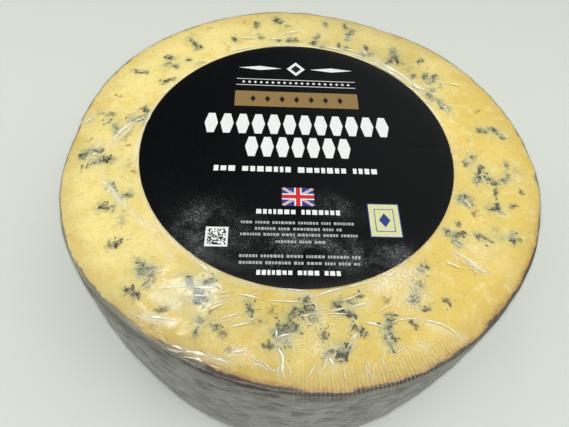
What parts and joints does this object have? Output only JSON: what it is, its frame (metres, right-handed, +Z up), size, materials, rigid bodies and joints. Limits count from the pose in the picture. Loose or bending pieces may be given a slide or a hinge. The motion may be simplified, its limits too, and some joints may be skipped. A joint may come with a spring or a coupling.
{
  "type": "blue cheese wheel",
  "caption": "Half wheel of blue-veined cheese standing cut face up, wrapped in clear film, with a round dark label on the film.",
  "frame": {"origin": "on the surface it stands on, under the middle of the wheel's outline", "axes": "+Z up through the cut face, +X along the label's lines from left to right, +Y towards the label's top"},
  "size_m": [0.2074, 0.2088, 0.1114],
  "materials": {
    "cheese": "pale yellow paste with blue-green veins and a grey-brown rind, slightly moist",
    "film": "thin clear film, glossy and creased",
    "label": "satin near-black printed label"
  },
  "bodies": {
    "root": {"cheese_wheel": "cheese", "film_wrap": "film", "label": "label"}
  },
  "joints": []
}
